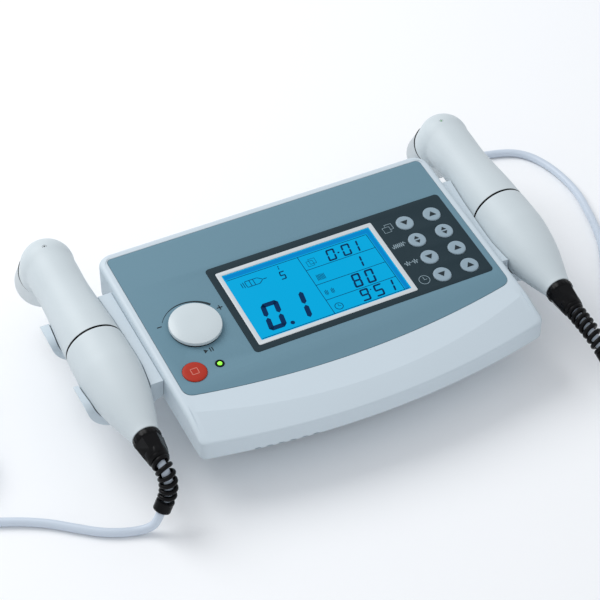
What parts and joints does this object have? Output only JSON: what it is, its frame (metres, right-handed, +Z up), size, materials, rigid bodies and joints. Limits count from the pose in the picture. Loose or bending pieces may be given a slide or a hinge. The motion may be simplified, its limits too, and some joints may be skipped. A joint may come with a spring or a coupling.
{
  "type": "ultrasound therapy device",
  "caption": "Low console with a leaning control panel, display, turning knob and press keys, and a hand-held ultrasound applicator in a cradle on each side, with their leads.",
  "frame": {"origin": "on the table under the middle of the console and its two applicators", "axes": "+Z up, +X to the user's right across the console, +Y to the rear, so the control panel faces -Y and up"},
  "size_m": [0.6224, 0.3106, 0.0861],
  "materials": {
    "white_case": "satin moulded",
    "white_applicator": "satin moulded",
    "overlay_blue": "fine matt film",
    "dark_slate": "fine matt film",
    "silver_frame": "silver paint",
    "display_glass": "lit blue display behind a clear window",
    "key_grey": "matt",
    "stop_red": "matt",
    "knob_white": "polished",
    "black_plastic": "satin",
    "black_rubber": "matt",
    "led_green": "clear",
    "board_green": "coated",
    "steel": "plated",
    "aluminium": "turned",
    "ceramic": "fired",
    "copper_winding": "enamelled",
    "lead_grey": "satin"
  },
  "bodies": {
    "console": {"upper_housing": "white_case", "lower_housing": "white_case", "front_overlay": "overlay_blue", "keypad_bezel": "dark_slate", "lcd_frame": "silver_frame", "lcd_window": "display_glass", "lcd_module": "dark_slate", "front_board": "board_green", "main_board": "board_green", "output_transformer": "copper_winding", "heat_sink": "aluminium", "encoder_body": "black_plastic", "status_led": "led_green", "dc_inlet": "black_plastic", "switch_frame": "black_plastic", "left_socket": "steel", "right_socket": "steel", "foot_1": "black_rubber", "foot_2": "black_rubber", "foot_3": "black_rubber", "foot_4": "black_rubber", "case_screw_left": "steel", "case_screw_right": "steel", "left_holder": "white_case", "right_holder": "white_case", "left_lead": "lead_grey", "left_lead_coil": "lead_grey", "left_plug": "black_plastic", "right_lead_front": "lead_grey", "right_lead_coil": "lead_grey", "right_lead_rear": "lead_grey", "right_plug": "black_plastic"},
    "encoder": {"encoder_shaft": "steel"},
    "knob_cap": {"knob": "knob_white"},
    "program_down": {"program_down_key": "key_grey"},
    "program_up": {"program_up_key": "key_grey"},
    "frequency_down": {"frequency_down_key": "key_grey"},
    "frequency_up": {"frequency_up_key": "key_grey"},
    "duty_down": {"duty_down_key": "key_grey"},
    "duty_up": {"duty_up_key": "key_grey"},
    "timer_down": {"timer_down_key": "key_grey"},
    "timer_up": {"timer_up_key": "key_grey"},
    "stop": {"stop_key": "stop_red"},
    "rocker": {"power_rocker": "black_plastic"},
    "left_applicator": {"left_handle_shell": "white_applicator", "left_head_housing": "white_applicator", "left_sound_head": "aluminium", "left_isolation_ring": "black_rubber", "left_crystal": "ceramic", "left_head_led": "led_green", "left_cable_gland": "black_plastic", "left_bend_relief": "black_plastic"},
    "right_applicator": {"right_handle_shell": "white_applicator", "right_head_housing": "white_applicator", "right_sound_head": "aluminium", "right_isolation_ring": "black_rubber", "right_crystal": "ceramic", "right_head_led": "led_green", "right_cable_gland": "black_plastic", "right_bend_relief": "black_plastic"}
  },
  "joints": [
    {"name": "knob_turn", "type": "hinge", "parent": "console", "child": "encoder", "pos_m": [-0.0938, -0.01687, 0.06395], "axis": [0, -0.1253, 0.9921], "continuous": true},
    {"name": "knob_push", "type": "slide", "parent": "encoder", "child": "knob_cap", "axis": [0, 0.1253, -0.9921], "range_m": [0, 0.0006], "stiffness_N_per_m": 3000, "springref_m": -0.0005},
    {"name": "program_down_press", "type": "slide", "parent": "console", "child": "program_down", "axis": [0, 0.1253, -0.9921], "range_m": [0, 0.0004], "stiffness_N_per_m": 2000, "springref_m": -0.0003},
    {"name": "program_up_press", "type": "slide", "parent": "console", "child": "program_up", "axis": [0, 0.1253, -0.9921], "range_m": [0, 0.0004], "stiffness_N_per_m": 2000, "springref_m": -0.0003},
    {"name": "frequency_down_press", "type": "slide", "parent": "console", "child": "frequency_down", "axis": [0, 0.1253, -0.9921], "range_m": [0, 0.0004], "stiffness_N_per_m": 2000, "springref_m": -0.0003},
    {"name": "frequency_up_press", "type": "slide", "parent": "console", "child": "frequency_up", "axis": [0, 0.1253, -0.9921], "range_m": [0, 0.0004], "stiffness_N_per_m": 2000, "springref_m": -0.0003},
    {"name": "duty_down_press", "type": "slide", "parent": "console", "child": "duty_down", "axis": [0, 0.1253, -0.9921], "range_m": [0, 0.0004], "stiffness_N_per_m": 2000, "springref_m": -0.0003},
    {"name": "duty_up_press", "type": "slide", "parent": "console", "child": "duty_up", "axis": [0, 0.1253, -0.9921], "range_m": [0, 0.0004], "stiffness_N_per_m": 2000, "springref_m": -0.0003},
    {"name": "timer_down_press", "type": "slide", "parent": "console", "child": "timer_down", "axis": [0, 0.1253, -0.9921], "range_m": [0, 0.0004], "stiffness_N_per_m": 2000, "springref_m": -0.0003},
    {"name": "timer_up_press", "type": "slide", "parent": "console", "child": "timer_up", "axis": [0, 0.1253, -0.9921], "range_m": [0, 0.0004], "stiffness_N_per_m": 2000, "springref_m": -0.0003},
    {"name": "stop_press", "type": "slide", "parent": "console", "child": "stop", "axis": [0, 0.1253, -0.9921], "range_m": [0, 0.0004], "stiffness_N_per_m": 2000, "springref_m": -0.0003},
    {"name": "power_rocker_tilt", "type": "hinge", "parent": "console", "child": "rocker", "pos_m": [-0.062, 0.0675, 0.023], "axis": [1, 0, 0], "range_deg": [0, 16]},
    {"name": "left_applicator_lift", "type": "slide", "parent": "console", "child": "left_applicator", "axis": [0, -0.0993, 0.9951], "range_m": [0, 0.06]},
    {"name": "right_applicator_lift", "type": "slide", "parent": "console", "child": "right_applicator", "axis": [0, -0.0993, 0.9951], "range_m": [0, 0.06]}
  ]
}
